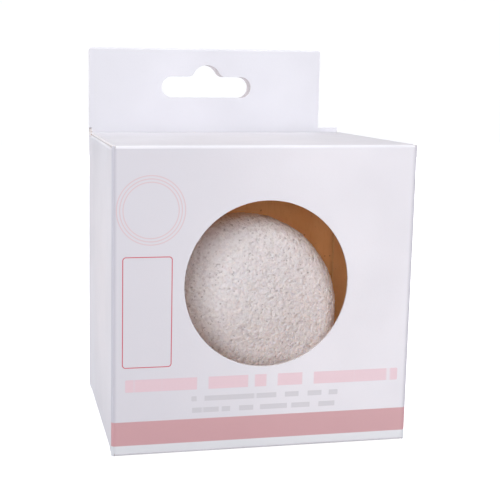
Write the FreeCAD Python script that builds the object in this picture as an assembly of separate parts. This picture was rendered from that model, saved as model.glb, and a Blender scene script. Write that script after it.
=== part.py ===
import FreeCAD, Part
import math
import os
from FreeCAD import Vector

# Hanging retail carton with a round front window, holding a dry half-ball konjac sponge.
# Millimetres, +Z up, front towards -Y, origin in the middle of the carton's footprint.

# Carton and its board
carton_width = 88.0
carton_depth = 64.0
carton_height = 88.0
board = 0.6
fold_inner_radius = 0.4

# Air between pieces
crease_gap = 0.1
ply_gap = 0.1
tuck_gap = 0.3
seat_gap = 0.3

# Header that stands up from the rear of the carton
header_rise = 28.0
header_inset = 8.0
header_corner_radius = 1.0
shoulder_rise = 1.5

# Hang slot, a wide slot with a round bump over its middle
slot_width = 31.0
slot_height = 7.0
slot_drop = 12.8
bump_radius = 5.0
bump_rise = 3.9
bump_foot_radius = 2.5
rear_slot_shift = -1.2

# Round window in the front panel
window_diameter = 48.0
window_offset = 0.3
window_height = 48.6

# Lid and bottom panel, and the tuck flaps on their rear creases
closure_side_inset = 0.5
tuck_length = 13.0
tuck_lean = 9.0
tuck_side_inset = 1.0
tuck_corner_radius = 8.0

# Dust flaps on the side panels
dust_length = 27.0
dust_front_start = 4.0
dust_rear_gap = 4.0
dust_front_taper_share = 0.65
dust_rear_taper_share = 0.12
dust_corner_radius = 4.0

# Sponge: a flat face with a rounded rim towards the window, and a dome to the rear
sponge_diameter = 63.0
sponge_dome_depth = 27.5
sponge_dome_shoulder_radius = 19.0
sponge_rim_radius = 6.0
sponge_rear_gap = 2.2
sponge_offset = 1.2

cut_overrun = 1.0

# Places that several pieces share
half_board = board / 2
fold_outer_radius = fold_inner_radius + board
x_out = carton_width / 2
x_fold = x_out - fold_outer_radius
x_crease = x_out - half_board
y_front = -carton_depth / 2
y_rear = carton_depth / 2
y_seam = y_rear - board
y_back = y_seam - board
y_crease = y_front + half_board
y_tuck = y_back - tuck_gap - half_board
z_floor = half_board
z_lid = carton_height - half_board
z_dust_low = board + ply_gap + half_board
z_dust_top = carton_height - z_dust_low
z_shoulder = carton_height + shoulder_rise
z_header = carton_height + header_rise
x_header_right = x_out - header_inset
x_slot = (x_header_right - x_out) / 2
X_AXIS = Vector(1, 0, 0)
Y_AXIS = Vector(0, 1, 0)
Z_AXIS = Vector(0, 0, 1)


def span_box(low, high):
    """A box between two opposite corners."""
    size = Vector(*high) - Vector(*low)
    return Part.makeBox(size.x, size.y, size.z, Vector(*low))


def rounded_face(corners, place):
    """A flat face through (u, v, radius) corners; place turns u and v into a point in space."""
    stretches = []
    for (before, here, after) in zip(corners[-1:] + corners[:-1], corners, corners[1:] + corners[:1]):
        corner = Vector(here[0], here[1])
        radius = here[2]
        if not radius:
            stretches.append([corner])
            continue
        to_before = (Vector(before[0], before[1]) - corner).normalize()
        to_after = (Vector(after[0], after[1]) - corner).normalize()
        middle = (to_before + to_after).normalize()
        half_angle = to_before.getAngle(to_after) / 2
        reach = radius / math.tan(half_angle)
        crown = corner + middle * (radius / math.sin(half_angle) - radius)
        stretches.append([corner + to_before * reach, crown, corner + to_after * reach])
    edges = []
    for (stretch, following) in zip(stretches, stretches[1:] + stretches[:1]):
        points = [place(p.x, p.y) for p in stretch]
        if len(points) > 1:
            edges.append(Part.Arc(*points).toShape())
        edges.append(Part.LineSegment(points[-1], place(following[0].x, following[0].y)).toShape())
    return Part.Face(Part.Wire(edges))


def upright_plate(corners, y_from, y_to):
    """A plate parallel to the front, from (x, z, radius) corners."""
    face = rounded_face(corners, lambda x, z: Vector(x, y_from, z))
    return face.extrude(Vector(0, y_to - y_from, 0))


def level_plate(corners, z_middle):
    """One level thickness of board, from (x, y, radius) corners."""
    face = rounded_face(corners, lambda x, y: Vector(x, y, z_middle - half_board))
    return face.extrude(Vector(0, 0, board))


def nose(start, direction, length):
    """The round edge in which a panel ends at a crease, centred on the crease's axis."""
    return Part.makeCylinder(half_board, length, start, direction)


def half_fold(x, y, start_angle):
    """One panel's half of a fixed upright fold, an eighth of a ring of board."""
    height = z_dust_top - z_dust_low
    foot = Vector(x, y, z_dust_low)
    ring = Part.makeCylinder(fold_outer_radius, height, foot, Z_AXIS, 45)
    ring = ring.cut(Part.makeCylinder(fold_inner_radius, height, foot, Z_AXIS))
    return ring.rotate(foot, Z_AXIS, start_angle)


def joined(first, *others):
    """The pieces of one panel as one solid with whole faces."""
    return first.fuse(list(others)).removeSplitter()


def in_bottom(shape):
    """The bottom closure's copy of a piece of the top closure."""
    return shape.mirror(Vector(0, 0, carton_height / 2), Z_AXIS)


def on_left(shape):
    """The left copy of a piece of the right side."""
    return shape.mirror(Vector(0, 0, 0), X_AXIS)


def front_panel():
    """Front wall with the round window, ending in the lid's and the bottom panel's creases."""
    wall = span_box((-x_fold, y_front, z_floor), (x_fold, y_front + board, z_lid))
    creases = [nose(Vector(-x_fold, y_crease, z), X_AXIS, 2 * x_fold) for z in (z_floor, z_lid)]
    y_fold = y_front + fold_outer_radius
    folds = [half_fold(-x_fold, y_fold, 225), half_fold(x_fold, y_fold, 270)]
    centre = Vector(window_offset, y_front - cut_overrun, window_height)
    window = Part.makeCylinder(window_diameter / 2, board + 2 * cut_overrun, centre, Y_AXIS)
    return joined(wall, *creases, *folds).cut(window)


def side_panel(y_rear_face):
    """Right side wall, folded at the front and at the panel whose outer face is y_rear_face."""
    y_start = y_front + fold_outer_radius
    y_end = y_rear_face - fold_outer_radius
    wall = span_box((x_out - board, y_start, z_dust_low), (x_out, y_end, z_dust_top))
    length = y_end - y_start
    creases = [nose(Vector(x_crease, y_start, z), Y_AXIS, length) for z in (z_dust_low, z_dust_top)]
    folds = [half_fold(x_fold, y_start, 315), half_fold(x_fold, y_end, 0)]
    return joined(wall, *creases, *folds)


def back_panel():
    """Inner rear wall, folded from the right side; its top edge is a shoulder above the lid."""
    wall = span_box((-x_fold, y_back, 0), (x_fold, y_seam, z_shoulder))
    return joined(wall, half_fold(x_fold, y_seam - fold_outer_radius, 45))


def slot_cut(x_middle):
    """The hang slot's prism: a round-ended slot, a round bump and its two flared feet."""
    end_radius = slot_height / 2
    z_middle = z_header - slot_drop
    z_top = z_middle + end_radius
    z_bump = z_top + bump_rise - bump_radius
    y_from = y_back - cut_overrun
    depth = y_rear - y_back + 2 * cut_overrun

    def disc(x, z, radius):
        return Part.makeCylinder(radius, depth, Vector(x, y_from, z), Y_AXIS)

    x_end = slot_width / 2 - end_radius
    slot = span_box(
        (x_middle - x_end, y_from, z_middle - end_radius),
        (x_middle + x_end, y_from + depth, z_top),
    )
    ends = [disc(x_middle + side * x_end, z_middle, end_radius) for side in (-1, 1)]
    bump = disc(x_middle, z_bump, bump_radius)
    # Each foot is the corner left between the bump, the slot's top and a disc that touches both
    z_foot = z_top + bump_foot_radius
    reach = bump_radius + bump_foot_radius
    x_foot = math.sqrt(reach**2 - (z_foot - z_bump) ** 2)
    touch_share = bump_radius / reach
    feet = span_box(
        (x_middle - x_foot, y_from, z_middle),
        (x_middle + x_foot, y_from + depth, z_bump + (z_foot - z_bump) * touch_share),
    )
    for side in (-1, 1):
        feet = feet.cut(disc(x_middle + side * x_foot, z_foot, bump_foot_radius))
    return slot.fuse([*ends, bump, feet]).removeSplitter()


def header_outline(z_low):
    """The header's outline, with its two upper corners rounded."""
    return [
        (-x_out, z_low, 0),
        (x_header_right, z_low, 0),
        (x_header_right, z_header, header_corner_radius),
        (-x_out, z_header, header_corner_radius),
    ]


def header_roll():
    """The round top edge over which the header's board is folded double."""
    length = x_header_right + x_out
    return Part.makeCylinder(board, length, Vector(-x_out, y_seam, z_header - board), X_AXIS)


def header_ply(y_from, y_to, z_low, x_middle):
    """One ply of the header up to the middle of its folded top edge, its slot about x_middle."""
    straight = span_box((-x_out, y_from, z_low), (x_header_right, y_to, z_header - board))
    roll = header_roll().common(span_box((-x_out, y_from, z_low), (x_header_right, y_to, z_header)))
    rounded = upright_plate(header_outline(z_low), y_from, y_to)
    return joined(straight, roll).common(rounded).cut(slot_cut(x_middle))


def hanger_panel():
    """Fifth panel, folded from the left side over the back panel and rising as the header's rear ply."""
    wall = span_box((-x_fold, y_seam, 0), (x_header_right, y_rear, carton_height))
    rear_ply = header_ply(y_seam, y_rear, carton_height, x_slot + rear_slot_shift)
    return joined(wall, half_fold(-x_fold, y_rear - fold_outer_radius, 90), rear_ply)


def header_front_ply():
    """The header's front ply, folded over at the top and ending above the back panel's shoulder."""
    return header_ply(y_back, y_seam, z_shoulder + ply_gap, x_slot)


def lid_panel():
    """Lid from the front panel's top crease to the tuck flap's crease."""
    x_side = x_out - closure_side_inset
    y_start = y_crease + half_board + crease_gap
    wall = span_box((-x_side, y_start, z_lid - half_board), (x_side, y_tuck, carton_height))
    return joined(wall, nose(Vector(-x_side, y_tuck, z_lid), X_AXIS, 2 * x_side))


def lid_tuck_flap():
    """Flap that hangs from the lid's rear crease inside the back panel, leaning a little inward."""
    x_side = x_out - closure_side_inset - tuck_side_inset
    z_start = z_lid - half_board - crease_gap
    z_end = z_lid - tuck_length
    corners = [
        (-x_side, z_start, 0),
        (-x_side, z_end, tuck_corner_radius),
        (x_side, z_end, tuck_corner_radius),
        (x_side, z_start, 0),
    ]
    flap = upright_plate(corners, y_tuck - half_board, y_tuck + half_board)
    return flap.rotate(Vector(0, y_tuck, z_lid), X_AXIS, -tuck_lean)


def top_right_dust_flap():
    """Flap folded in from the right side under the lid, tapered so that it clears the lid as both open."""
    x_start = x_crease - half_board - crease_gap
    x_end = x_crease - dust_length
    y_start = y_crease + dust_front_start
    y_end = y_tuck - dust_rear_gap
    corners = [
        (x_start, y_start, 0),
        (x_start, y_end, 0),
        (x_end, y_end - dust_rear_taper_share * dust_length, dust_corner_radius),
        (x_end, y_start + dust_front_taper_share * dust_length, dust_corner_radius),
    ]
    return level_plate(corners, z_dust_top)


def profile_arc(x, y, radius, start, end):
    """An arc about (x, y) in the plane of X and Y, from one angle to another."""
    points = []
    for angle in (start, (start + end) / 2, end):
        points.append(Vector(x + radius * math.cos(angle), y + radius * math.sin(angle), 0))
    return Part.Arc(*points).toShape()


def konjac_sponge():
    """Half-ball sponge standing on its rim on the bottom panel, its flat face behind the window."""
    radius = sponge_diameter / 2
    depth = sponge_dome_depth
    shoulder_radius = sponge_dome_shoulder_radius
    # The dome is a shoulder arc, square to the rim's plane, that runs into a wider crown arc
    shoulder_x = radius - shoulder_radius
    crown_radius = (radius**2 + depth**2 - 2 * radius * shoulder_radius) / (2 * (depth - shoulder_radius))
    crown_y = depth - crown_radius
    turn = math.atan2(-crown_y, shoulder_x)
    x_rim = radius - sponge_rim_radius
    y_face = -sponge_rim_radius
    outline = [
        Part.LineSegment(Vector(0, y_face, 0), Vector(x_rim, y_face, 0)).toShape(),
        profile_arc(x_rim, 0, sponge_rim_radius, -math.pi / 2, 0),
        profile_arc(shoulder_x, 0, shoulder_radius, 0, turn),
        profile_arc(0, crown_y, crown_radius, turn, math.pi / 2),
        Part.LineSegment(Vector(0, depth, 0), Vector(0, y_face, 0)).toShape(),
    ]
    sponge = Part.Face(Part.Wire(outline)).revolve(Vector(0, 0, 0), Y_AXIS, 360)
    y_rim = y_back - sponge_rear_gap - depth
    sponge.translate(Vector(sponge_offset, y_rim, board + seat_gap + radius))
    return sponge


nodes = {
    "front_panel": front_panel(),
    "left_side_panel": on_left(side_panel(y_rear)),
    "right_side_panel": side_panel(y_seam),
    "back_panel": back_panel(),
    "hanger_panel": hanger_panel(),
    "header_front_ply": header_front_ply(),
    "lid_panel": lid_panel(),
    "lid_tuck_flap": lid_tuck_flap(),
    "top_left_dust_flap": on_left(top_right_dust_flap()),
    "top_right_dust_flap": top_right_dust_flap(),
    "bottom_panel": in_bottom(lid_panel()),
    "bottom_tuck_flap": in_bottom(lid_tuck_flap()),
    "bottom_left_dust_flap": in_bottom(on_left(top_right_dust_flap())),
    "bottom_right_dust_flap": in_bottom(top_right_dust_flap()),
    "konjac_sponge": konjac_sponge(),
}

os.makedirs("parts", exist_ok=True)
for name, shape in nodes.items():
    print(name, len(shape.Solids), "solid", shape.isValid(), round(shape.Volume, 2), "mm3")
    shape.exportStep(f"parts/{name}.step")
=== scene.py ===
import math

import bmesh
import bpy
import numpy as np
from mathutils import Matrix, Vector, noise


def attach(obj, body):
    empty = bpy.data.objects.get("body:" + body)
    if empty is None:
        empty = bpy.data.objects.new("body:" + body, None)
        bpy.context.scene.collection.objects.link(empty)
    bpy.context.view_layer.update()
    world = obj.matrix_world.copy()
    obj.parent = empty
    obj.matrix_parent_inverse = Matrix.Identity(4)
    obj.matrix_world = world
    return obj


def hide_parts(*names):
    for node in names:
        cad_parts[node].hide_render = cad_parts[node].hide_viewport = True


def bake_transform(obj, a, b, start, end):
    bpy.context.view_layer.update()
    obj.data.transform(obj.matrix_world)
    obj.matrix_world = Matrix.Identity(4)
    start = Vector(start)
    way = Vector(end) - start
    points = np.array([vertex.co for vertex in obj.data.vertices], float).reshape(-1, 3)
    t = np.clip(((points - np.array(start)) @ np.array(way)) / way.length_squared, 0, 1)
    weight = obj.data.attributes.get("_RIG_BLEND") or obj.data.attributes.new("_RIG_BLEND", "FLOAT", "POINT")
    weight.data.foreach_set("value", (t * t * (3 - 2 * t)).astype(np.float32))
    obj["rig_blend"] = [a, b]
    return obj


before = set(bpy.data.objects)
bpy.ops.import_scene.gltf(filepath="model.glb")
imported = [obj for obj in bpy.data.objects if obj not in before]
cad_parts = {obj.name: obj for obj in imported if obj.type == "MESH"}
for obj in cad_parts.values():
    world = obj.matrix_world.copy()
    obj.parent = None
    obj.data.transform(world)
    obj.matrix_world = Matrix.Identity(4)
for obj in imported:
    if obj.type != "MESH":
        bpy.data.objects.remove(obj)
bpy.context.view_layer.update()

# ---------------------------------------------------------------- sizes, in millimetres
MM = 0.001
BOARD = 0.6
WIDTH, DEPTH, HEIGHT = 88.0, 64.0, 88.0
FOLD_R, CREASE_R = 1.0, 0.9
CREASE_GAP, TUCK_GAP, CORNER_GAP = 0.1, 0.3, 0.15
X_OUT = WIDTH / 2
X_FOLD = X_OUT - FOLD_R
Y_FRONT, Y_REAR = -DEPTH / 2, DEPTH / 2
Y_SEAM = Y_REAR - BOARD
Y_BACK = Y_SEAM - BOARD
Z_MIDDLE = HEIGHT / 2
Z_CORNER = HEIGHT - CORNER_GAP
# Axes of the creases: the lid's, its tuck flap's and the dust flaps'
Y_CREASE, Z_LID = Y_FRONT + BOARD / 2, HEIGHT - BOARD / 2
Y_TUCK = Y_BACK - TUCK_GAP - BOARD / 2
X_CREASE, Z_DUST = X_OUT - BOARD / 2, Z_LID - BOARD - CREASE_GAP
# Header, hang slot and window
HEADER_RISE, HEADER_INSET, HEADER_CORNER_R = 28.0, 8.0, 1.0
SHOULDER_RISE, GLUE_DROP = 1.5, 1.4
X_HEADER_RIGHT, Z_HEADER = X_OUT - HEADER_INSET, HEIGHT + HEADER_RISE
Z_SHOULDER, Z_GLUE_END = HEIGHT + SHOULDER_RISE, HEIGHT - GLUE_DROP
ROLL_CORE = 0.03 * BOARD
SLOT_DROP, REAR_SLOT_SHIFT = 12.8, -1.2
X_SLOT, Z_SLOT = -4.0, Z_HEADER - SLOT_DROP
X_SLOT_REAR = X_SLOT + REAR_SLOT_SHIFT
SLOT_W, SLOT_H, BUMP_R, BUMP_RISE, FOOT_R = 31.0, 7.0, 5.0, 3.9, 2.5
WINDOW_X, WINDOW_Z, WINDOW_R = 0.3, 48.6, 24.0
# Lid and flaps
LID_INSET, LID_TAPER = 0.5, 0.25
LID_HALF = X_OUT - LID_INSET
TUCK_INSET, TUCK_LENGTH, TUCK_LEAN, TUCK_R = 1.0, 13.0, math.radians(9.0), 8.0
TUCK_HALF = LID_HALF - TUCK_INSET
DUST_LENGTH, DUST_R = 27.0, 4.0
DUST_FRONT_START, DUST_REAR_END = 4.3, 5.8
DUST_Y0, DUST_Y1 = Y_FRONT + DUST_FRONT_START, Y_REAR - DUST_REAR_END
DUST_TAPER0, DUST_TAPER1 = 0.65, 0.12
# How far either side of a crease's axis the board starts and ends to turn
CREASE_BEND, TUCK_BEND_BEFORE, TUCK_BEND_AFTER = 0.14, 0.19, 0.11
# Bulge and slow ripple of the panels, and the half-height over which they fade
FRONT_BOW, FRONT_RIPPLE, FRONT_HALF = 0.3, 0.2, Z_MIDDLE - 0.8
SIDE_BOW, SIDE_RIPPLE, SIDE_HALF = 0.22, 0.15, Z_MIDDLE - 0.5
LID_BOW, LID_RIPPLE = 0.22, 0.3
HEADER_LEAN, HEADER_RIPPLE = 0.35, 0.25
TUCK_CURL, DUST_SAG = 0.25, 0.5
RIPPLE_PITCH = 0.035
SEED_FRONT, SEED_SIDE, SEED_HEADER, SEED_LID, SEED_BOTTOM = 1.7, 4.1, 8.3, 12.9, 15.1
# Pitches and counts of the meshes
FRONT_PITCH, SIDE_PITCH, SIDE_END_PITCH, BACK_PITCH, FOLD_STEP = 1.5, 3.0, 1.0, 4.0, 0.16
HEADER_PITCH_X, HEADER_PITCH_Z = 1.0, 0.5
LID_PITCH, TUCK_PITCH, DUST_PITCH = 2.5, 1.5, 2.0
CREASE_STEPS, ROLL_STEPS, TUCK_END_STEPS, DUST_END_STEPS = 10, 12, 10, 8
LID_COLUMNS, DUST_COLUMNS = 32, 18
WINDOW_LOOPS, SLOT_LOOPS = 16, 9
SHARP_ANGLE = math.radians(38)
TINY, HALVINGS = 1e-6, 40
# Material slots of a board's mesh
OUTSIDE, INSIDE, CUT, EXTRA = range(4)


def divide(low, high, count):
    """Stations that divide low to high into count equal steps."""
    return [low + (high - low) * i / count for i in range(count + 1)]


def steps(low, high, pitch):
    """Evenly spaced stations from low to high, about pitch apart."""
    return divide(low, high, max(1, round((high - low) / pitch)))


# ---------------------------------------------------------------- node materials
class Shader:
    """A material's node tree and the few node forms used here."""

    def __init__(self, name):
        self.material = bpy.data.materials.new(name)
        self.material.use_nodes = True
        self.tree = self.material.node_tree
        self.tree.nodes.clear()
        self.out = self.node("ShaderNodeOutputMaterial")
        self.bsdf = self.node("ShaderNodeBsdfPrincipled")
        self.link(self.bsdf.outputs[0], self.out.inputs["Surface"])
        self.where = self.node("ShaderNodeTexCoord").outputs["Object"]

    def node(self, kind, **settings):
        made = self.tree.nodes.new(kind)
        for key, value in settings.items():
            setattr(made, key, value)
        return made

    def link(self, source, target):
        self.tree.links.new(source, target)

    def feed(self, socket, value):
        if isinstance(value, bpy.types.NodeSocket):
            self.link(value, socket)
        else:
            socket.default_value = value

    def math(self, operation, *values, clamp=False):
        made = self.node("ShaderNodeMath", operation=operation, use_clamp=clamp)
        for socket, value in zip(made.inputs, values):
            self.feed(socket, value)
        return made.outputs[0]

    def vector(self, operation, *values):
        made = self.node("ShaderNodeVectorMath", operation=operation)
        for socket, value in zip(made.inputs, values):
            self.feed(socket, value)
        return made.outputs["Value" if operation == "LENGTH" else "Vector"]

    def noise(self, scale, detail=2.0, roughness=0.5, where=None):
        made = self.node("ShaderNodeTexNoise")
        self.link(where or self.where, made.inputs["Vector"])
        made.inputs["Scale"].default_value = scale
        made.inputs["Detail"].default_value = detail
        made.inputs["Roughness"].default_value = roughness
        return made.outputs["Fac"]

    def spread(self, value, low, high, to_low=0.0, to_high=1.0, smooth=False):
        kind = "SMOOTHSTEP" if smooth else "LINEAR"
        made = self.node("ShaderNodeMapRange", interpolation_type=kind)
        self.link(value, made.inputs["Value"])
        names = ("From Min", "From Max", "To Min", "To Max")
        for key, number in zip(names, (low, high, to_low, to_high)):
            made.inputs[key].default_value = number
        return made.outputs["Result"]

    def mix(self, factor, first, second, blend="MIX"):
        made = self.node("ShaderNodeMix", data_type="RGBA", blend_type=blend)
        self.feed(made.inputs["Factor"], factor)
        self.feed(made.inputs[6], first)
        self.feed(made.inputs[7], second)
        return made.outputs[2]

    def ramp(self, factor, *stops):
        made = self.node("ShaderNodeValToRGB")
        self.link(factor, made.inputs["Fac"])
        elements = made.color_ramp.elements
        while len(elements) < len(stops):
            elements.new(0.5)
        for element, (place, colour) in zip(elements, stops):
            element.position = place
            element.color = colour
        return made.outputs["Color"]

    def bump(self, height, strength, distance):
        made = self.node("ShaderNodeBump")
        made.inputs["Strength"].default_value = strength
        made.inputs["Distance"].default_value = distance
        self.link(height, made.inputs["Height"])
        self.link(made.outputs["Normal"], self.bsdf.inputs["Normal"])

    def thin(self, share, colour, kind="ShaderNodeBsdfTranslucent"):
        """Lets a share of the light through, spread out as board does or straight."""
        through = self.node(kind)
        self.feed(through.inputs["Color"], colour)
        both = self.node("ShaderNodeMixShader")
        both.inputs[0].default_value = share
        self.link(self.bsdf.outputs[0], both.inputs[1])
        self.link(through.outputs[0], both.inputs[2])
        self.link(both.outputs[0], self.out.inputs["Surface"])

    def surface(self, **inputs):
        for key, value in inputs.items():
            self.feed(self.bsdf.inputs[key.replace("_", " ")], value)


def srgb(red, green, blue):
    """A linear colour from 8-bit display values."""

    def linear(value):
        share = value / 255
        return share / 12.92 if share <= 0.04045 else ((share + 0.055) / 1.055) ** 2.4

    return (linear(red), linear(green), linear(blue), 1.0)


COAT_DARK, COAT_LIGHT = srgb(223, 223, 230), srgb(229, 229, 236)
COAT_GRAIN = srgb(214, 214, 220)


def coat_colour(sh):
    """White clay-coated board: faint clouding and a fine fibre grain."""
    cloud = sh.noise(38.0, 2.0)
    grain = sh.noise(1500.0, 3.0, 0.65)
    colour = sh.ramp(cloud, (0.35, COAT_DARK), (0.68, COAT_LIGHT))
    return sh.mix(sh.spread(grain, 0.62, 0.8, 0.0, 0.35), colour, COAT_GRAIN), grain


def coat_finish(sh, colour, grain):
    """Satin varnish over the coat, with the board's slight waves."""
    sheen = sh.noise(260.0, 2.0)
    sh.surface(
        Base_Color=colour,
        Roughness=sh.spread(sheen, 0.3, 0.7, 0.46, 0.58),
        Specular_IOR_Level=0.32,
    )
    wave = sh.noise(70.0, 1.0)
    relief = sh.math("MULTIPLY_ADD", wave, 2.2, grain)
    sh.bump(relief, 0.12, 0.00025)
    sh.thin(0.2, colour)


def coat_material():
    sh = Shader("white_coat")
    colour, grain = coat_colour(sh)
    coat_finish(sh, colour, grain)
    return sh.material


def kraft_material():
    """Unbleached inner face with long pulp fibres and dark flecks."""
    sh = Shader("kraft_inside")
    stretch = sh.vector("MULTIPLY", sh.where, (1.0, 1.0, 0.22))
    fibre = sh.noise(1400.0, 3.0, 0.6, stretch)
    cloud = sh.noise(60.0, 3.0)
    fleck = sh.noise(900.0, 1.0, 0.4)
    colour = sh.ramp(cloud, (0.3, srgb(227, 173, 116)), (0.7, srgb(235, 185, 130)))
    colour = sh.mix(sh.spread(fibre, 0.5, 0.8, 0.0, 0.45), colour, srgb(211, 154, 97))
    colour = sh.mix(sh.spread(fleck, 0.72, 0.8, 0.0, 0.5), colour, srgb(112, 70, 40))
    rough = sh.spread(fibre, 0.3, 0.7, 0.8, 0.92)
    sh.surface(Base_Color=colour, Roughness=rough, Specular_IOR_Level=0.2)
    sh.bump(fibre, 0.25, 0.0002)
    sh.thin(0.8, colour)
    return sh.material


def pulp_material(name, dark, light):
    """Bare pulp of the board's core."""
    sh = Shader(name)
    fibre = sh.noise(2600.0, 3.0, 0.7)
    colour = sh.ramp(fibre, (0.3, dark), (0.7, light))
    rough = sh.spread(fibre, 0.3, 0.7, 0.75, 0.92)
    sh.surface(Base_Color=colour, Roughness=rough, Specular_IOR_Level=0.2)
    sh.bump(fibre, 0.35, 0.0001)
    return sh.material


def glue_material():
    """Clear film of glue between two plies, with fibres in it."""
    sh = Shader("glue_film")
    fibre = sh.noise(1400.0, 3.0, 0.6)
    colour = sh.ramp(fibre, (0.3, srgb(222, 204, 182)), (0.7, srgb(238, 226, 208)))
    sh.surface(Base_Color=colour, Roughness=sh.spread(fibre, 0.3, 0.7, 0.4, 0.6))
    sh.thin(0.94, (1.0, 0.97, 0.93, 1.0), "ShaderNodeBsdfTransparent")
    return sh.material


# Places on the front panel, in millimetres: x from its middle, z from the floor
# Painted shade on the front: where the grey darkening from the left fades out, and where the painted shadow
# beside each upright fold lies
PAINTED_SHADE_X, FOLD_SHADE_X = (-42.0, 24.0), (42.4, 43.6)
STRIPE_BOX = (-60.0, 60.0, 3.1, 10.0, 0.05)
# Band along the foot of the front that carries a painted reflection of the floor on the bottom crease
FLOOR_REFLECTION_BOX = (-60.0, 60.0, -4.0, 3.1, 0.05)
RINGS_X, RINGS_Z, RING_RADII, RING_LINE = -33.2, 70.2, (9.6, 8.7, 7.8), 0.3
FRAME_BOX, FRAME_LINE = (-41.0, -27.2, 25.8, 57.2, 0.9), 0.26
TITLE_BOX, TITLE_PITCH, TITLE_START = (-40.2, 40.8, 18.7, 22.3, 0.4), 5.2, 3.0
TEXT_X, TEXT_PITCH, TEXT_R = (-21.2, 22.5), 3.4, 0.3
TEXT_ROWS = ((15.2, 16.7, 11.0), (11.8, 13.3, 29.0))
WORD_SHARE, WORD_SOFT = 0.4, 0.02


def print_material():
    """White coat with the front panel's plain print: a stripe, rings, a frame and bars; with painted shade
    and a painted floor reflection.
    """
    sh = Shader("front_print")
    flat = sh.vector("MULTIPLY", sh.where, (1 / MM, 0.0, 1 / MM))
    split = sh.node("ShaderNodeSeparateXYZ")
    sh.link(flat, split.inputs[0])
    across = split.outputs[0]

    def box(x0, x1, z0, z1, radius):
        """Distance outside a rounded rectangle."""
        centre = ((x0 + x1) / 2, 0.0, (z0 + z1) / 2)
        half = ((x1 - x0) / 2 - radius, 0.0, (z1 - z0) / 2 - radius)
        away = sh.vector("ABSOLUTE", sh.vector("SUBTRACT", flat, centre))
        past = sh.vector("MAXIMUM", sh.vector("SUBTRACT", away, half), (0.0, 0.0, 0.0))
        return sh.math("SUBTRACT", sh.vector("LENGTH", past), radius)

    def ring(x, z, radius):
        """Distance outside a circle."""
        away = sh.vector("SUBTRACT", flat, (x, 0.0, z))
        return sh.math("SUBTRACT", sh.vector("LENGTH", away), radius)

    def fill(distance, soft=0.1):
        return sh.math("MULTIPLY_ADD", distance, -1 / soft, 0.5, clamp=True)

    def line(distance, width, soft=0.1):
        away = sh.math("ABSOLUTE", distance)
        return sh.math("MULTIPLY_ADD", away, -1 / soft, 0.5 + width / 2 / soft, clamp=True)

    def words(mask, pitch, start):
        """Breaks a bar into uneven lengths."""
        made = sh.node("ShaderNodeTexNoise", noise_dimensions="1D")
        sh.link(sh.math("MULTIPLY_ADD", across, 1 / pitch, start), made.inputs["W"])
        made.inputs["Scale"].default_value = 1.0
        made.inputs["Detail"].default_value = 0.0
        gaps = sh.spread(made.outputs["Fac"], WORD_SHARE - WORD_SOFT, WORD_SHARE + WORD_SOFT)
        return sh.math("MULTIPLY", mask, gaps)

    def printed(base, mask, share, ink):
        """The base colour with a share of ink over the mask."""
        return sh.mix(sh.math("MULTIPLY", mask, share), base, ink)

    painted_shade_grey, fold_shadow_grey = srgb(213, 213, 221), srgb(188, 187, 198)
    floor_reflection_white = srgb(226, 233, 236)
    pink, pale_pink, red = srgb(198, 136, 140), srgb(228, 184, 194), srgb(198, 82, 100)
    grey, rosy_grey = srgb(188, 188, 194), srgb(214, 190, 196)
    colour, grain = coat_colour(sh)

    # Painted shade: a faint grey darkening from the left, and a band of painted shadow beside each upright
    # fold
    colour = sh.mix(sh.spread(across, *PAINTED_SHADE_X, 1.0, 0.0, smooth=True), colour, painted_shade_grey)
    fold = sh.spread(sh.math("ABSOLUTE", across), *FOLD_SHADE_X, 0.0, 0.85, smooth=True)
    colour = sh.mix(fold, colour, fold_shadow_grey)

    stripe = fill(box(*STRIPE_BOX), 0.2)
    # Painted reflection of the floor: a pale greenish-white band along the bottom crease
    floor_reflection = fill(box(*FLOOR_REFLECTION_BOX), 0.2)
    colour = printed(colour, floor_reflection, 0.6, floor_reflection_white)
    colour = sh.mix(stripe, colour, pink)
    for radius in RING_RADII:
        colour = printed(colour, line(ring(RINGS_X, RINGS_Z, radius), RING_LINE), 0.8, rosy_grey)
    colour = sh.mix(line(box(*FRAME_BOX), FRAME_LINE), colour, red)
    title = words(fill(box(*TITLE_BOX)), TITLE_PITCH, TITLE_START)
    colour = printed(colour, title, 0.55, pale_pink)
    for (low, high, start) in TEXT_ROWS:
        text = words(fill(box(*TEXT_X, low, high, TEXT_R)), TEXT_PITCH, start)
        colour = printed(colour, text, 0.5, grey)
    coat_finish(sh, colour, grain)
    return sh.material


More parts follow.
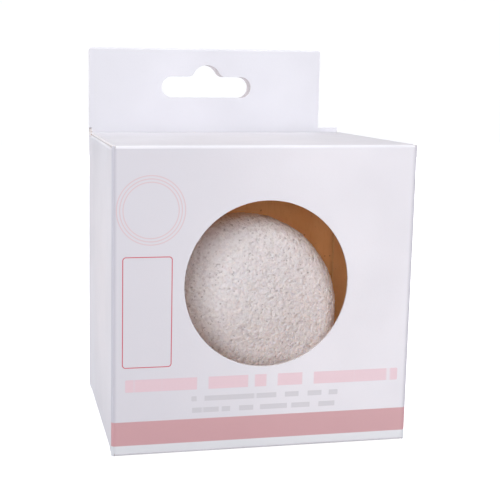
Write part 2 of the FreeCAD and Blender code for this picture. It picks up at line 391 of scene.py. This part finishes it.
def sponge_material():
    """Dry konjac fibre: a pale matte crumb with painted shade in its pores and fine specks, and painted
    highlights as glints on raised crumb.
    """
    sh = Shader("dry_konjac")
    pore_shade = sh.node("ShaderNodeAttribute", attribute_name="pore_shade").outputs["Fac"]
    # Raised crumb, where a painted highlight goes
    tip = sh.node("ShaderNodeAttribute", attribute_name="tip").outputs["Fac"]
    cloud = sh.noise(95.0, 3.0)
    crumb = sh.noise(850.0, 2.0, 0.6)
    shade_speck = sh.noise(1150.0, 1.0, 0.5)
    glint = sh.noise(1400.0, 1.0, 0.5)
    colour = sh.ramp(cloud, (0.32, srgb(231, 231, 236)), (0.68, srgb(238, 239, 243)))
    colour = sh.mix(sh.spread(crumb, 0.47, 0.7, 0.0, 0.55), colour, srgb(206, 202, 207))
    # Painted shade: darker specks where the fine pits dip, and darker again inside the pores
    colour = sh.mix(sh.spread(shade_speck, 0.64, 0.74, 0.0, 0.55), colour, srgb(148, 141, 148))
    colour = sh.mix(pore_shade, colour, srgb(134, 124, 126))
    # Painted highlights: near-white glints on raised crumb and at random spots
    painted_highlight = sh.math("MAXIMUM", sh.math("MULTIPLY", tip, 0.8), sh.spread(glint, 0.64, 0.72))
    colour = sh.mix(painted_highlight, colour, srgb(242, 240, 241))
    sh.surface(
        Base_Color=colour,
        Roughness=sh.spread(crumb, 0.3, 0.7, 0.55, 0.85),
        Specular_IOR_Level=0.35,
        Subsurface_Weight=0.2,
        Subsurface_Radius=(1.0, 0.75, 0.6),
        Subsurface_Scale=0.0015,
    )
    sh.bump(sh.math("MULTIPLY_ADD", shade_speck, -0.7, crumb), 0.65, 0.0008)
    return sh.material


COAT = coat_material()
KRAFT = kraft_material()
EDGE = pulp_material("cut_edge", srgb(206, 202, 204), srgb(228, 225, 227))
GLUED = glue_material()
INNER_GREY = pulp_material("header_inner_grey", srgb(174, 168, 172), srgb(194, 189, 193))
PRINT = print_material()
SPONGE = sponge_material()


# ---------------------------------------------------------------- board pieces
class Sheet:
    """Board as pairs of an outer and an inner point, patch by patch, closed along its cut edges."""

    def __init__(self):
        self.pairs, self.faces, self.known = [], [], {}

    def point(self, outer, inner):
        key = tuple(round(c, 4) for c in outer)
        if key not in self.known:
            self.known[key] = len(self.pairs)
            self.pairs.append((outer, inner))
        return self.known[key]

    def face(self, *corners):
        around = [c for i, c in enumerate(corners) if c != corners[i - 1]]
        if len(around) > 2:
            self.faces.append(around)

    def grid(self, us, vs, place, keep=None):
        rows = [[self.point(*place(u, v)) for u in us] for v in vs]
        for j in range(len(vs) - 1):
            for i in range(len(us) - 1):
                if keep is None or keep((us[i] + us[i + 1]) / 2, (vs[j] + vs[j + 1]) / 2):
                    self.face(rows[j][i], rows[j][i + 1], rows[j + 1][i + 1], rows[j + 1][i])
        return self

    def ring(self, outer, hole, count, place):
        loops = []
        for k in range(count + 1):
            share = k / count
            loops.append(
                [
                    self.point(*place(h[0] + (o[0] - h[0]) * share, h[1] + (o[1] - h[1]) * share))
                    for o, h in zip(outer, hole)
                ]
            )
        for near, far in zip(loops, loops[1:]):
            for i in range(len(outer)):
                self.face(near[i - 1], near[i], far[i], far[i - 1])
        return self

    def mesh(self, name, outside):
        """A closed mesh with three materials: the outside, the kraft inside and the cut edges."""
        total = len(self.pairs)
        points = [p[0] for p in self.pairs] + [p[1] for p in self.pairs]
        uses = {}
        for around in self.faces:
            for i, here in enumerate(around):
                uses.setdefault(frozenset((around[i - 1], here)), []).append((around[i - 1], here))
        walls = [pairs[0] for pairs in uses.values() if len(pairs) == 1]
        faces = list(self.faces)
        faces += [[c + total for c in reversed(around)] for around in self.faces]
        faces += [[b, a, a + total, b + total] for (a, b) in walls]
        data = bpy.data.meshes.new(name)
        data.from_pydata([Vector(p) * MM for p in points], [], faces)
        for material in (outside, KRAFT, EDGE):
            data.materials.append(material)
        half = len(self.faces)
        kinds = [OUTSIDE] * half + [INSIDE] * half + [CUT] * len(walls)
        data.polygons.foreach_set("material_index", kinds)
        work = bmesh.new()
        work.from_mesh(data)
        loose = [v for v in work.verts if not v.link_faces]
        bmesh.ops.delete(work, geom=loose, context="VERTS")
        bmesh.ops.recalc_face_normals(work, faces=work.faces)
        work.to_mesh(data)
        work.free()
        data.polygons.foreach_set("use_smooth", [True] * len(data.polygons))
        data.set_sharp_from_angle(angle=SHARP_ANGLE)
        made = bpy.data.objects.new(name, data)
        bpy.context.scene.collection.objects.link(made)
        return made


def rectangle(xs, zs):
    """A rectangle's outline, anticlockwise through the given stations."""
    low = [(x, zs[0]) for x in xs]
    right = [(xs[-1], z) for z in zs[1:]]
    high = [(x, zs[-1]) for x in reversed(xs[:-1])]
    left = [(xs[0], z) for z in reversed(zs[1:-1])]
    return low + right + high + left


def hole_facing(outline, centre, reach):
    """The hole's points that face the outline's; reach gives the hole's radius at an angle."""
    points = []
    for (x, z) in outline:
        angle = math.atan2(z - centre[1], x - centre[0])
        radius = reach(angle)
        points.append((centre[0] + radius * math.cos(angle), centre[1] + radius * math.sin(angle)))
    return points


def slot_reach():
    """Radius of the hang slot, about its middle, as a function of the angle."""
    end_r = SLOT_H / 2
    bump_z = end_r + BUMP_RISE - BUMP_R
    foot_z = end_r + FOOT_R
    foot_x = math.sqrt((BUMP_R + FOOT_R) ** 2 - (foot_z - bump_z) ** 2)
    touch_z = bump_z + (foot_z - bump_z) * BUMP_R / (BUMP_R + FOOT_R)

    def inside(x, z):
        x = abs(x)
        core = max(x - (SLOT_W / 2 - end_r), 0.0)
        if math.hypot(core, z) <= end_r or math.hypot(x, z - bump_z) <= BUMP_R:
            return True
        return 0 <= z <= touch_z and x <= foot_x and math.hypot(x - foot_x, z - foot_z) >= FOOT_R

    def reach(angle):
        near, far = 0.0, SLOT_W
        for _ in range(HALVINGS):
            middle = (near + far) / 2
            if inside(middle * math.cos(angle), middle * math.sin(angle)):
                near = middle
            else:
                far = middle
        return near

    return reach


def ripple(a, b, seed):
    """Slow unevenness of a board panel."""
    return noise.noise(Vector((a * RIPPLE_PITCH, b * RIPPLE_PITCH, seed)))


def crown(share):
    """A bulge over -1 to 1 that ends flat."""
    return max(0.0, 1 - share * share)


def front_bow(x, z):
    """How far the front panel stands out."""
    swell = crown(x / X_FOLD) * crown((z - Z_MIDDLE) / FRONT_HALF)
    return swell * (FRONT_BOW + FRONT_RIPPLE * ripple(x, z, SEED_FRONT))


def front_place(u, z):
    """Places the front panel; past the folds, u runs on round them."""
    side = math.copysign(1.0, u)
    past = abs(u) - X_FOLD
    if past <= TINY:
        y = Y_FRONT - front_bow(u, z)
        return (u, y, z), (u, y + BOARD, z)
    angle = past / FOLD_R

    def at(radius):
        x = side * (X_FOLD + radius * math.sin(angle))
        return (x, Y_FRONT + FOLD_R - radius * math.cos(angle), z)

    return at(FOLD_R), at(FOLD_R - BOARD)


def side_place(side, y_rear):
    """Places a side wall, with its fold into the panel whose outer face is y_rear."""
    y_end = y_rear - FOLD_R

    def place(y, z):
        if y <= y_end + TINY:
            middle = (Y_FRONT + FOLD_R + y_end) / 2
            bow = crown((y - middle) / (y_end - middle)) * crown((z - Z_MIDDLE) / SIDE_HALF)
            x = X_OUT + bow * (SIDE_BOW + SIDE_RIPPLE * ripple(y, z, SEED_SIDE * side))
            return (side * x, y, z), (side * (x - BOARD), y, z)
        angle = (y - y_end) / FOLD_R

        def at(radius):
            x = side * (X_FOLD + radius * math.cos(angle))
            return (x, y_end + radius * math.sin(angle), z)

        return at(FOLD_R), at(FOLD_R - BOARD)

    return place


def header_lean(x, z):
    """How far the header's doubled board leans and curls back."""
    rise = max(0.0, (z - HEIGHT) / (Z_HEADER - HEIGHT))
    return rise * rise * (HEADER_LEAN + HEADER_RIPPLE * ripple(x, z, SEED_HEADER))


def header_x(x, z):
    """Rounds the header's two upper corners."""
    past = min(max(z - (Z_HEADER - HEADER_CORNER_R), 0.0), HEADER_CORNER_R)
    cut = HEADER_CORNER_R - math.sqrt(HEADER_CORNER_R**2 - past**2)
    return min(max(x, -X_OUT + cut), X_HEADER_RIGHT - cut)


def front_board():
    """Front wall round its window, with both upright folds."""
    xs = steps(-X_FOLD, X_FOLD, FRONT_PITCH)
    zs = steps(HEIGHT - Z_LID + BOARD, Z_LID - BOARD, FRONT_PITCH)
    outline = rectangle(xs, zs)
    window = hole_facing(outline, (WINDOW_X, WINDOW_Z), lambda angle: WINDOW_R)
    sheet = Sheet().ring(outline, window, WINDOW_LOOPS, front_place)
    quarter = math.pi / 2 * FOLD_R
    rows = [HEIGHT - Z_CORNER] + zs + [Z_CORNER]

    def keep(u, z):
        return zs[0] < z < zs[-1] or abs(u) > X_FOLD + FOLD_STEP

    for side in (-1, 1):
        around = [side * u for u in steps(X_FOLD, X_FOLD + quarter, FOLD_STEP)]
        sheet.grid(around, rows, front_place, keep)
    return sheet.mesh("front_board", PRINT)


def side_board(name, side, y_rear):
    """Side wall with its rear fold, notched where the dust flaps bend off."""
    y_end = y_rear - FOLD_R
    ys = steps(Y_FRONT + FOLD_R, DUST_Y0, SIDE_END_PITCH)
    ys += steps(DUST_Y0, DUST_Y1, SIDE_PITCH)[1:]
    ys += steps(DUST_Y1, y_end, SIDE_END_PITCH)[1:]
    ys += steps(y_end, y_end + math.pi / 2 * FOLD_R, FOLD_STEP)[1:]
    z_bend = Z_DUST + BOARD / 2 - CREASE_R
    z_end = Z_DUST + BOARD / 3
    zs = [HEIGHT - z_end] + steps(HEIGHT - z_bend, z_bend, SIDE_PITCH) + [z_end, HEIGHT]

    def keep(y, z):
        if z > z_end:
            return y_rear == Y_REAR and y > y_end
        return not (DUST_Y0 < y < DUST_Y1) or HEIGHT - z_bend < z < z_bend

    sheet = Sheet().grid(ys, zs, side_place(side, y_rear), keep)
    return sheet.mesh(name, COAT)


def back_board():
    """Inner rear wall; where the hanger panel covers it, its outside is a film of glue."""

    def place(x, z):
        return (x, Y_SEAM, z), (x, Y_BACK, z)

    xs = steps(-X_FOLD, X_HEADER_RIGHT, BACK_PITCH) + [X_FOLD]
    zs = steps(0.0, Z_GLUE_END, BACK_PITCH) + [Z_SHOULDER]
    sheet = Sheet().grid(xs, zs, place)
    made = sheet.mesh("back_board", COAT)
    made.data.materials.append(GLUED)
    for face in made.data.polygons:
        if face.center.z > Z_GLUE_END * MM:
            face.material_index = OUTSIDE
        elif face.material_index == OUTSIDE and face.center.x < X_HEADER_RIGHT * MM:
            face.material_index = EXTRA
    return made


def grey_above(made, z_low):
    """Gives the inner faces above z_low a grey pulp look."""
    made.data.materials.append(INNER_GREY)
    for face in made.data.polygons:
        if face.material_index == INSIDE and face.center.z > z_low * MM:
            face.material_index = EXTRA
    return made


def header_rings(sheet, z_low, x_slot, place):
    """The header's face between z_low and its folded top edge, round its slot."""
    xs = [-X_OUT] + steps(-X_FOLD, X_HEADER_RIGHT, HEADER_PITCH_X)
    zs = steps(z_low, Z_HEADER - BOARD, HEADER_PITCH_Z)
    outline = rectangle(xs, zs)
    slot = hole_facing(outline, (x_slot, Z_SLOT), slot_reach())
    sheet.ring(outline, slot, SLOT_LOOPS, place)
    return xs


def hanger_board():
    """Outer rear wall, rising as the header's rear ply and rolled over at its top."""

    def wall(x, z):
        lean = header_lean(x, z)
        x = header_x(x, z)
        return (x, Y_REAR + lean, z), (x, Y_SEAM + lean, z)

    def roll(x, angle):
        z_middle = Z_HEADER - BOARD
        y_middle = Y_SEAM + header_lean(x, z_middle)
        z = z_middle + BOARD * math.sin(angle)
        x = header_x(x, z)
        return (
            (x, y_middle + BOARD * math.cos(angle), z),
            (x, y_middle + ROLL_CORE * math.cos(angle), z_middle + ROLL_CORE * math.sin(angle)),
        )

    sheet = Sheet()
    xs = header_rings(sheet, HEIGHT, X_SLOT_REAR, wall)
    sheet.grid(xs[1:], steps(0.0, HEIGHT, BACK_PITCH), wall)
    sheet.grid(xs, divide(0.0, math.pi, ROLL_STEPS), roll)
    made = grey_above(sheet.mesh("hanger_board", COAT), Z_SHOULDER)
    made.data.materials[INSIDE] = GLUED
    return made


def header_ply_board():
    """The header's front ply."""

    def wall(x, z):
        lean = header_lean(x, z)
        x = header_x(x, z)
        return (x, Y_BACK + lean, z), (x, Y_SEAM + lean, z)

    sheet = Sheet()
    header_rings(sheet, Z_SHOULDER, X_SLOT, wall)
    return grey_above(sheet.mesh("header_ply_board", COAT), HEIGHT)


def mirrored(place, top):
    """The same placing for the top closure, or upside down for the bottom one."""

    def flipped(u, v):
        outer, inner = place(u, v)
        if top:
            return outer, inner
        return (outer[0], outer[1], HEIGHT - outer[2]), (inner[0], inner[1], HEIGHT - inner[2])

    return flipped


def bend_ends(axis, direction, before, after, top):
    """Where a crease starts and ends to turn, either side of its axis."""
    ends = []
    for share in (-before, after):
        x, y, z = (axis[i] + share * direction[i] for i in range(3))
        ends.append((x * MM, y * MM, (z if top else HEIGHT - z) * MM))
    return ends


def rounded_end(length, radius, count):
    """Stations over a flap's last radius, closer towards its tip."""
    angles = divide(0.0, math.pi / 2, count)
    return [length - radius + radius * math.sin(a) for a in angles[1:]]


# The tuck flap's outward and downward directions (y, z), and where its crease bends
TUCK_N = (math.cos(TUCK_LEAN), -math.sin(TUCK_LEAN))
TUCK_D = (-math.sin(TUCK_LEAN), -math.cos(TUCK_LEAN))
Z_BEND = HEIGHT - CREASE_R
TUCK_FOOT = (Y_TUCK + BOARD / 2 * TUCK_N[0], Z_LID + BOARD / 2 * TUCK_N[1])
Y_BEND = TUCK_FOOT[0] - (CREASE_R - (TUCK_FOOT[1] - Z_BEND) * TUCK_N[1]) / TUCK_N[0]


def lid_board(name, top):
    """Closing panel with the bent crease that joins it to the front wall."""
    y_start = Y_FRONT + CREASE_R
    quarter = math.pi / 2

    def place(share, v):
        if v <= quarter:
            x = share * X_FOLD

            def at(radius):
                return (x, y_start - radius * math.cos(v), Z_BEND + radius * math.sin(v))

            return at(CREASE_R), at(CREASE_R - BOARD)
        y = y_start + v - quarter
        half = min(LID_HALF, X_FOLD + LID_TAPER * (y - y_start))
        x = share * half
        bow = crown(share) * crown(2 * (y - y_start) / (Y_BEND - y_start) - 1)
        z = HEIGHT + bow * (LID_BOW + LID_RIPPLE * ripple(x, y, SEED_LID if top else SEED_BOTTOM))
        return (x, y, z), (x, y, z - BOARD)

    along = divide(0.0, quarter, CREASE_STEPS)
    along += [quarter + y for y in steps(0.0, Y_BEND - y_start, LID_PITCH)[1:]]
    across = divide(-1.0, 1.0, LID_COLUMNS)
    return Sheet().grid(across, along, mirrored(place, top)).mesh(name, COAT)


def tuck_board(name, top):
    """Tuck flap with the bent crease that joins it to its closing panel."""
    turn = math.pi / 2 + TUCK_LEAN
    first = (Y_BEND + CREASE_R * TUCK_N[0], Z_BEND + CREASE_R * TUCK_N[1])
    done = (first[0] - TUCK_FOOT[0]) * TUCK_D[0] + (first[1] - TUCK_FOOT[1]) * TUCK_D[1]
    straight = TUCK_LENGTH - done

    def place(share, v):
        if v <= turn:
            x = share * TUCK_HALF

            def at(radius):
                return (x, Y_BEND + radius * math.sin(v), Z_BEND + radius * math.cos(v))

            return at(CREASE_R), at(CREASE_R - BOARD)
        run = v - turn
        past = max(0.0, run - (straight - TUCK_R))
        x = share * (TUCK_HALF - TUCK_R + math.sqrt(max(TUCK_R**2 - past**2, 0.0)))
        curl = TUCK_CURL * (run / straight) ** 2
        y = first[0] + run * TUCK_D[0] - curl
        z = first[1] + run * TUCK_D[1]
        return (x, y, z), (x, y - BOARD * TUCK_N[0], z - BOARD * TUCK_N[1])

    runs = steps(0.0, straight - TUCK_R, TUCK_PITCH)
    runs += rounded_end(straight, TUCK_R, TUCK_END_STEPS)
    along = divide(0.0, turn, CREASE_STEPS) + [turn + r for r in runs[1:]]
    across = divide(-1.0, 1.0, LID_COLUMNS)
    return Sheet().grid(across, along, mirrored(place, top)).mesh(name, COAT)


def dust_board(name, side, top):
    """Dust flap with the bent crease that joins it to its side wall."""
    x_bend = X_OUT - CREASE_R
    z_top = Z_DUST + BOARD / 2
    z_bend = z_top - CREASE_R
    reach = DUST_LENGTH - (X_CREASE - x_bend)
    quarter = math.pi / 2

    def place(share, v):
        if v <= quarter:
            y = DUST_Y0 + (DUST_Y1 - DUST_Y0) * share

            def at(radius):
                return (side * (x_bend + radius * math.cos(v)), y, z_bend + radius * math.sin(v))

            return at(CREASE_R), at(CREASE_R - BOARD)
        run = v - quarter
        past = max(0.0, run - (reach - DUST_R))
        inset = DUST_R - math.sqrt(max(DUST_R**2 - past**2, 0.0))
        low = DUST_Y0 + DUST_TAPER0 * run + inset
        high = DUST_Y1 - DUST_TAPER1 * run - inset
        y = low + (high - low) * share
        x = side * (x_bend - run)
        z = z_top - DUST_SAG * (run / reach) ** 2
        return (x, y, z), (x, y, z - BOARD)

    runs = steps(0.0, reach - DUST_R, DUST_PITCH)
    runs += rounded_end(reach, DUST_R, DUST_END_STEPS)
    along = divide(0.0, quarter, CREASE_STEPS) + [quarter + r for r in runs[1:]]
    across = divide(0.0, 1.0, DUST_COLUMNS)
    return Sheet().grid(across, along, mirrored(place, top)).mesh(name, COAT)


def ride_as(piece, body, node):
    """A piece of board that moves with one body."""
    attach(piece, body)
    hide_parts(node)


ride_as(front_board(), "sleeve", "front_panel")
ride_as(side_board("left_board", -1, Y_REAR), "sleeve", "left_side_panel")
ride_as(side_board("right_board", 1, Y_SEAM), "sleeve", "right_side_panel")
ride_as(back_board(), "sleeve", "back_panel")
ride_as(hanger_board(), "sleeve", "hanger_panel")
ride_as(header_ply_board(), "sleeve", "header_front_ply")

for (end, top) in (("lid", True), ("bottom", False)):
    lid = lid_board(f"{end}_board", top)
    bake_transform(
        lid,
        "sleeve",
        end,
        *bend_ends((0, Y_CREASE, Z_LID), (0, 1, 1), CREASE_BEND, CREASE_BEND, top),
    )
    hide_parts(f"{end}_panel")
    tuck = tuck_board(f"{end}_tuck_board", top)
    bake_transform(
        tuck,
        end,
        f"{end}_tuck",
        *bend_ends((0, Y_TUCK, Z_LID), (0, 1, -1), TUCK_BEND_BEFORE, TUCK_BEND_AFTER, top),
    )
    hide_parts(f"{end}_tuck_flap")
    level = "top" if top else "bottom"
    for (hand, side) in (("left", -1), ("right", 1)):
        flap = dust_board(f"{level}_{hand}_dust_board", side, top)
        axis = (side * X_CREASE, 0, Z_DUST)
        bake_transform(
            flap,
            "sleeve",
            f"{level}_{hand}_dust",
            *bend_ends(axis, (-side, 0, 1), CREASE_BEND, CREASE_BEND, top),
        )
        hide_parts(f"{level}_{hand}_dust_flap")


# ---------------------------------------------------------------- sponge
SPONGE_R, DOME, SHOULDER_R, RIM_R, FACE_CROWN = 31.5, 27.5, 19.0, 6.0, 1.2
SEAT_GAP, REAR_GAP = 0.3, 2.2
SPONGE_X, SPONGE_Y, SPONGE_Z = 1.2, Y_BACK - REAR_GAP - DOME, BOARD + SEAT_GAP + SPONGE_R
SPONGE_FLOOR = BOARD + 0.08
FACE_POINTS, RIM_POINTS, SHOULDER_POINTS, CROWN_POINTS = 80, 40, 40, 80
SWELL = 0.25
# Pitch, height and offset of each layer of noise
LUMPS = ((0.08, 0.25, (0, 0, 0)), (0.3, 0.12, (9, 4, 2)))
GRAINS = ((0.7, 0.16, (0, 0, 0)), (1.5, 0.2, (5, 1, 8)))
# Large and small pores: pitch, offset, least size, range of sizes, seed, depth, and darkness of the painted
# shade inside them
PORES = (
    (0.62, (2.5, 7.1, 3.3), 0.06, 0.24, 7.0, 0.45, 0.9),
    (1.05, (12.5, 1.1, 6.3), 0.08, 0.3, 5.0, 0.35, 0.7),
)
PORE_LEAST, PORE_CURVE = 0.04, 0.7
# How raised grain turns into a painted highlight
HIGHLIGHT_GAIN, HIGHLIGHT_START = 9, 1.2


def arc(x, y, radius, start, end, count):
    """Points on an arc of the sponge's outline."""
    angles = np.linspace(start, end, count)
    return [(x + radius * math.cos(a), y + radius * math.sin(a)) for a in angles]


def sponge_profile():
    """The outline (distance from the axis, y), from the face's middle to the dome's top."""
    shoulder_x = SPONGE_R - SHOULDER_R
    crown_r = (SPONGE_R**2 + DOME**2 - 2 * SPONGE_R * SHOULDER_R) / (2 * (DOME - SHOULDER_R))
    crown_y = DOME - crown_r
    turn = math.atan2(-crown_y, shoulder_x)
    x_rim = SPONGE_R - RIM_R
    radii = np.linspace(0, x_rim, FACE_POINTS)
    points = [(r, -RIM_R - FACE_CROWN * crown(r / x_rim) ** 2) for r in radii]
    points += arc(x_rim, 0.0, RIM_R, -math.pi / 2, 0, RIM_POINTS)
    points += arc(shoulder_x, 0.0, SHOULDER_R, 0, turn, SHOULDER_POINTS)
    points += arc(0.0, crown_y, crown_r, turn, math.pi / 2, CROWN_POINTS)
    return np.array(points)


def layered(point, layers):
    """The sum of a point's layers of noise."""
    return sum(
        noise.noise(point * pitch + Vector(offset)) * height for (pitch, height, offset) in layers
    )


def sponge_crumb():
    """Half-ball of dry crumb: lumps, open pores and fine grain, moved out of one smooth skin."""
    work = bmesh.new()
    bmesh.ops.create_icosphere(work, subdivisions=7, radius=1.0)
    work.verts.ensure_lookup_table()
    unit = np.array([v.co for v in work.verts])
    profile = sponge_profile()
    length = np.concatenate([[0], np.cumsum(np.hypot(*np.diff(profile, axis=0).T))])
    # Polar angle 0 is the middle of the face; half of the points go to the face and its rim
    polar = np.arccos(np.clip(-unit[:, 1], -1, 1)) / math.pi
    rim_end = length[FACE_POINTS + RIM_POINTS - 1]
    along = np.interp(polar, [0, 0.5, 1], [0, rim_end, length[-1]])
    radius = np.interp(along, length, profile[:, 0])
    y = np.interp(along, length, profile[:, 1])
    flat = np.hypot(unit[:, 0], unit[:, 2])
    flat[flat == 0] = 1
    skin = np.stack([unit[:, 0] / flat * radius, y, unit[:, 2] / flat * radius], axis=1)
    work.verts.layers.float.new("pore_shade")
    work.verts.layers.float.new("tip")
    pore_shade_layer = work.verts.layers.float["pore_shade"]
    highlight_tip_layer = work.verts.layers.float["tip"]
    for vert, point in zip(work.verts, skin):
        vert.co = point
    work.normal_update()
    for vert in work.verts:
        p = Vector(vert.co)
        grain = layered(p, GRAINS)
        depth = dark = 0.0
        for (pitch, offset, least, span, seed, sink, shade) in PORES:
            near, seeds = noise.voronoi(p * pitch + Vector(offset))
            size = least + span * noise.cell(seeds[0] * seed)
            hole = max(0.0, 1 - near[0] / max(size, PORE_LEAST))
            depth += sink * hole**PORE_CURVE
            dark += shade * hole
        # Painted shade inside the pores, passed to the shader
        vert[pore_shade_layer] = min(1.0, dark)
        # Painted highlight on raised grain, passed to the shader
        vert[highlight_tip_layer] = min(1.0, max(0.0, grain * HIGHLIGHT_GAIN - HIGHLIGHT_START))
        vert.co = p + vert.normal * (SWELL + layered(p, LUMPS) + grain - depth)
    data = bpy.data.meshes.new("sponge_crumb")
    work.to_mesh(data)
    work.free()
    places = np.array([v.co for v in data.vertices]) + np.array([SPONGE_X, SPONGE_Y, SPONGE_Z])
    places[:, 2] = np.maximum(places[:, 2], SPONGE_FLOOR)
    data.vertices.foreach_set("co", (places * MM).ravel())
    data.polygons.foreach_set("use_smooth", [True] * len(data.polygons))
    data.materials.append(SPONGE)
    made = bpy.data.objects.new("sponge_crumb", data)
    bpy.context.scene.collection.objects.link(made)
    return made


sponge = sponge_crumb()
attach(sponge, "sponge")
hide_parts("konjac_sponge")


# ---------------------------------------------------------------- stage, light and camera
FLOOR_SIZE, FLOOR_DROP, FLOOR_GLOW = 2.4, 0.0002, 0.9
WORLD_LIGHT, WORLD_SEEN = 0.16, 1.04


def white_floor():
    """White floor that keeps the carton's soft shadow."""
    bpy.ops.mesh.primitive_plane_add(size=FLOOR_SIZE, location=(0.0, 0.0, -FLOOR_DROP))
    floor = bpy.context.object
    floor.name = "floor"
    sh = Shader("floor_white")
    sh.surface(Base_Color=srgb(164, 164, 167), Roughness=0.9, Specular_IOR_Level=0.1)
    ray = sh.node("ShaderNodeLightPath")
    glow = sh.node("ShaderNodeEmission")
    glow.inputs["Color"].default_value = (1.0, 1.0, 1.0, 1.0)
    sh.link(sh.math("MULTIPLY", ray.outputs["Is Camera Ray"], FLOOR_GLOW), glow.inputs["Strength"])
    both = sh.node("ShaderNodeAddShader")
    sh.link(sh.bsdf.outputs[0], both.inputs[0])
    sh.link(glow.outputs[0], both.inputs[1])
    sh.link(both.outputs[0], sh.out.inputs["Surface"])
    floor.data.materials.append(sh.material)


def white_world():
    """White where the camera sees it, and a weak fill light elsewhere."""
    world = bpy.data.worlds.new("white")
    bpy.context.scene.world = world
    world.use_nodes = True
    tree = world.node_tree
    back = tree.nodes["Background"]
    back.inputs["Color"].default_value = (0.97, 0.975, 1.0, 1.0)
    ray = tree.nodes.new("ShaderNodeLightPath")
    reach = tree.nodes.new("ShaderNodeMapRange")
    tree.links.new(ray.outputs["Is Camera Ray"], reach.inputs["Value"])
    reach.inputs["To Min"].default_value = WORLD_LIGHT
    reach.inputs["To Max"].default_value = WORLD_SEEN
    tree.links.new(reach.outputs["Result"], back.inputs["Strength"])


def softbox(name, place, target, size, watts, colour, glossy):
    """Square area lamp, turned to its target."""
    data = bpy.data.lights.new(name, "AREA")
    data.shape = "SQUARE"
    data.size = size
    data.energy = watts
    data.color = colour
    lamp = bpy.data.objects.new(name, data)
    bpy.context.scene.collection.objects.link(lamp)
    lamp.location = place
    lamp.visible_camera = False
    lamp.visible_glossy = glossy
    lamp.rotation_euler = (Vector(target) - Vector(place)).to_track_quat("-Z", "Y").to_euler()


white_floor()
white_world()
NEUTRAL = (1.0, 0.99, 0.99)
ON_FRONT, ON_SIDES = (0.0, -0.03, 0.047), (0.0, 0.0, 0.05)
# Name, place, target, size, watts, colour, and whether the board mirrors it
LAMPS = (
    ("key_light", (-0.372, -0.905, 0.35), ON_FRONT, 0.32, 6.95, NEUTRAL, True),
    ("left_front_light", (-0.683, -0.713, 0.306), ON_FRONT, 0.4, 0.9, (1.0, 0.99, 0.995), True),
    ("right_light", (0.34, -0.26, 0.1), (0.03, -0.03, 0.05), 0.2, 0.65, NEUTRAL, True),
    ("right_side_light", (1.0, 0.15, 0.3), ON_SIDES, 0.5, 3.4, NEUTRAL, True),
    ("top_light", (0.0, -0.06, 1.6), (0.0, 0.0, 0.08), 1.0, 19.0, (1.0, 0.995, 1.0), True),
    ("left_light", (-0.9, 0.2, 0.25), ON_SIDES, 0.5, 5.2, (0.98, 0.99, 1.0), True),
    ("rear_light", (0.3, 1.0, 0.16), ON_SIDES, 0.3, 10.5, NEUTRAL, False),
)
for lamp in LAMPS:
    softbox(*lamp)

CAMERA_PLACE = (-74.70, -281.91, 106.11)
YAW, PITCH, ROLL = -10.284, -8.15, -0.592
SENSOR, LENS = 36.0, 67.284
SHIFT_X, SHIFT_Y = 0.17, -0.076
turn = (
    Matrix.Rotation(math.radians(YAW), 3, "Z")
    @ Matrix.Rotation(math.radians(PITCH), 3, "X")
    @ Matrix.Rotation(math.radians(ROLL), 3, "Y")
)
right, forward, upward = turn.col
view = bpy.data.cameras.new("camera")
view.sensor_width = SENSOR
view.lens = LENS
view.shift_x = SHIFT_X
view.shift_y = SHIFT_Y
view.clip_start, view.clip_end = 0.01, 20.0
camera = bpy.data.objects.new("camera", view)
bpy.context.scene.collection.objects.link(camera)
pose = Matrix((right, upward, -forward)).transposed().to_4x4()
pose.translation = Vector(CAMERA_PLACE) * MM
camera.matrix_world = pose
bpy.context.scene.camera = camera
bpy.context.scene.view_settings.view_transform = "Standard"

bpy.context.view_layer.update()
